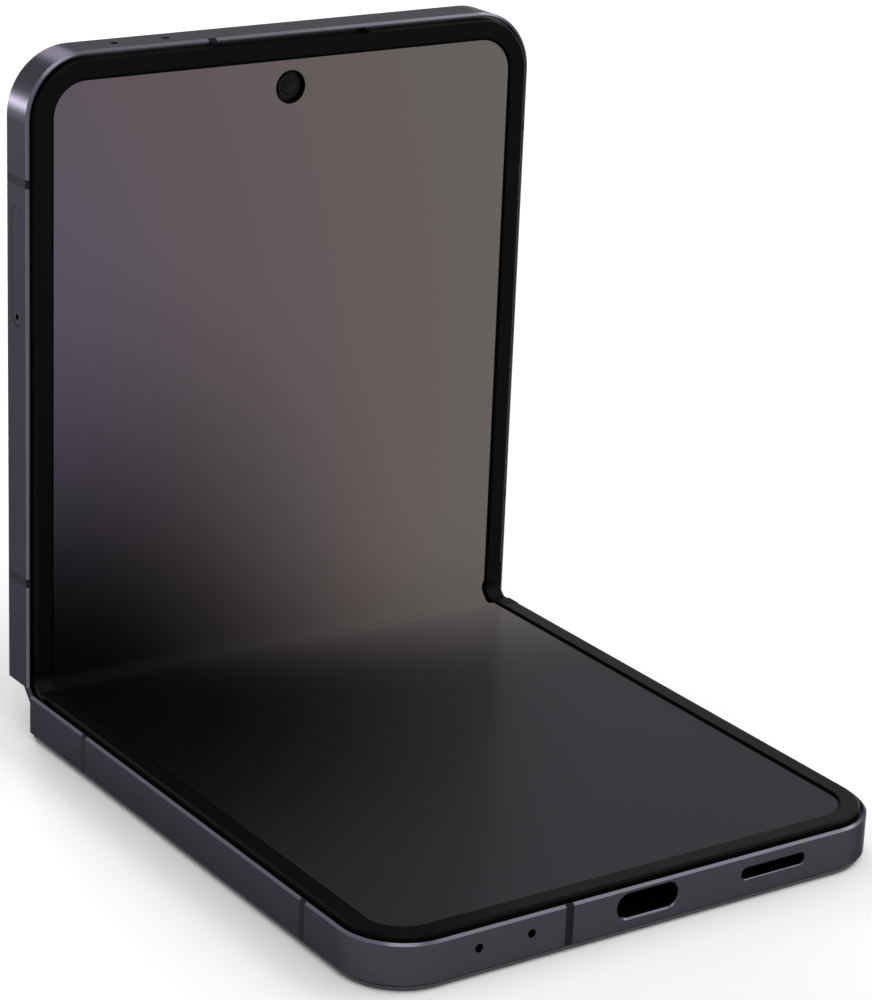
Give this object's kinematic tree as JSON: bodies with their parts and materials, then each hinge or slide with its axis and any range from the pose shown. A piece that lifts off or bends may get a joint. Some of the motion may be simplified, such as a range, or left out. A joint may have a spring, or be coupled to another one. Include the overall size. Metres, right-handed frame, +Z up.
{
  "type": "foldable smartphone",
  "caption": "Clamshell smartphone that folds across its flexible display on a geared hinge, with outer cover display, rear cameras, side keys and card tray.",
  "frame": {"origin": "centre of the bounding box on the surface it stands on", "axes": "+X along the folding axes towards the keys, +Y from the charging port towards the hinge, +Z up"},
  "size_m": [0.0756, 0.091, 0.09],
  "materials": {
    "anodised_aluminium": "fine bead-blasted, dark anodised",
    "band_plastic": "moulded, flush",
    "back_glass": "satin tinted glass",
    "cover_glass": "polished, dark",
    "trim_plastic": "fine satin",
    "display_film": "smooth gloss",
    "guard_rubber": "satin black",
    "steel": "stamped and sintered",
    "cell_wrap": "foil pouch",
    "circuit_board": "solder mask",
    "module_plastic": "moulded",
    "ring_metal": "turned, dark anodised",
    "lens_glass": "coated",
    "flash_plastic": "frosted"
  },
  "bodies": {
    "lower": {"lower_frame": "anodised_aluminium", "lower_bands": "band_plastic", "lower_back_glass": "back_glass", "lower_trim": "trim_plastic", "lower_display": "display_film", "lower_support_plate": "steel", "lower_battery": "cell_wrap", "charging_board": "circuit_board", "charging_port": "steel", "loudspeaker": "module_plastic", "lower_microphones": "steel", "vibration_motor": "steel", "lower_magnets": "steel", "lower_rotators": "steel", "lower_rail": "steel", "lower_hinge_screws": "steel"},
    "spine": {"spine_cover": "anodised_aluminium", "left_hinge_base": "steel", "right_hinge_base": "steel", "gear_bracket": "steel", "gear_shafts": "steel", "disc_springs": "steel", "display_fold": "display_film", "fold_guards": "guard_rubber"},
    "lower_arm": {"lower_timing_arm": "steel"},
    "lower_idler_gear": {"lower_idler": "steel"},
    "upper_idler_gear": {"upper_idler": "steel"},
    "upper_arm": {"upper_timing_arm": "steel"},
    "power_button": {"power_key": "anodised_aluminium"},
    "volume_button": {"volume_key": "anodised_aluminium"},
    "tray": {"card_tray": "anodised_aluminium"},
    "upper": {"upper_frame": "anodised_aluminium", "upper_bands": "band_plastic", "cover_display": "cover_glass", "upper_trim": "trim_plastic", "upper_display": "display_film", "upper_support_plate": "steel", "upper_battery": "cell_wrap", "main_board": "circuit_board", "front_camera": "module_plastic", "earpiece": "steel", "upper_microphones": "steel", "camera_modules": "module_plastic", "camera_rings": "ring_metal", "camera_lenses": "lens_glass", "flash_lens": "flash_plastic", "upper_magnets": "steel", "upper_rotators": "steel", "upper_rail": "steel", "upper_hinge_screws": "steel", "key_switches": "circuit_board"}
  },
  "joints": [
    {"name": "fold_lower", "type": "hinge", "parent": "lower", "child": "spine", "pos_m": [0, 0.03759, 0.00655], "axis": [1, 0, 0], "range_deg": [-45, 45], "deforming": ["display_fold", "fold_guards"]},
    {"name": "fold_upper", "type": "hinge", "parent": "spine", "child": "upper", "pos_m": [0, 0.03801, 0.00697], "axis": [1, 0, 0], "range_deg": [-45, 45]},
    {"name": "lower_arm_turn", "type": "hinge", "parent": "spine", "child": "lower_arm", "pos_m": [0, 0.03718, 0.00313], "axis": [1, 0, 0], "range_deg": [-45, 45]},
    {"name": "lower_idler_turn", "type": "hinge", "parent": "spine", "child": "lower_idler_gear", "pos_m": [0, 0.0386, 0.00455], "axis": [1, 0, 0], "range_deg": [-45, 45]},
    {"name": "upper_idler_turn", "type": "hinge", "parent": "spine", "child": "upper_idler_gear", "pos_m": [0, 0.04001, 0.00596], "axis": [1, 0, 0], "range_deg": [-45, 45]},
    {"name": "upper_arm_turn", "type": "hinge", "parent": "spine", "child": "upper_arm", "pos_m": [0, 0.04143, 0.00738], "axis": [1, 0, 0], "range_deg": [-45, 45]},
    {"name": "power_press", "type": "slide", "parent": "upper", "child": "power_button", "axis": [-1, 0, 0], "range_m": [0, 0.00025], "stiffness_N_per_m": 1500, "springref_m": -0.0002},
    {"name": "volume_press", "type": "slide", "parent": "upper", "child": "volume_button", "axis": [-1, 0, 0], "range_m": [0, 0.00025], "stiffness_N_per_m": 1500, "springref_m": -0.0002},
    {"name": "tray_slide", "type": "slide", "parent": "upper", "child": "tray", "axis": [-1, 0, 0], "range_m": [0, 0.022]}
  ],
  "couplings": [
    {"joint": "fold_upper", "follows": "fold_lower", "ratio": 1},
    {"joint": "lower_arm_turn", "follows": "fold_lower", "ratio": -1},
    {"joint": "lower_idler_turn", "follows": "fold_lower", "ratio": 1},
    {"joint": "upper_idler_turn", "follows": "fold_lower", "ratio": -1},
    {"joint": "upper_arm_turn", "follows": "fold_lower", "ratio": 1}
  ]
}
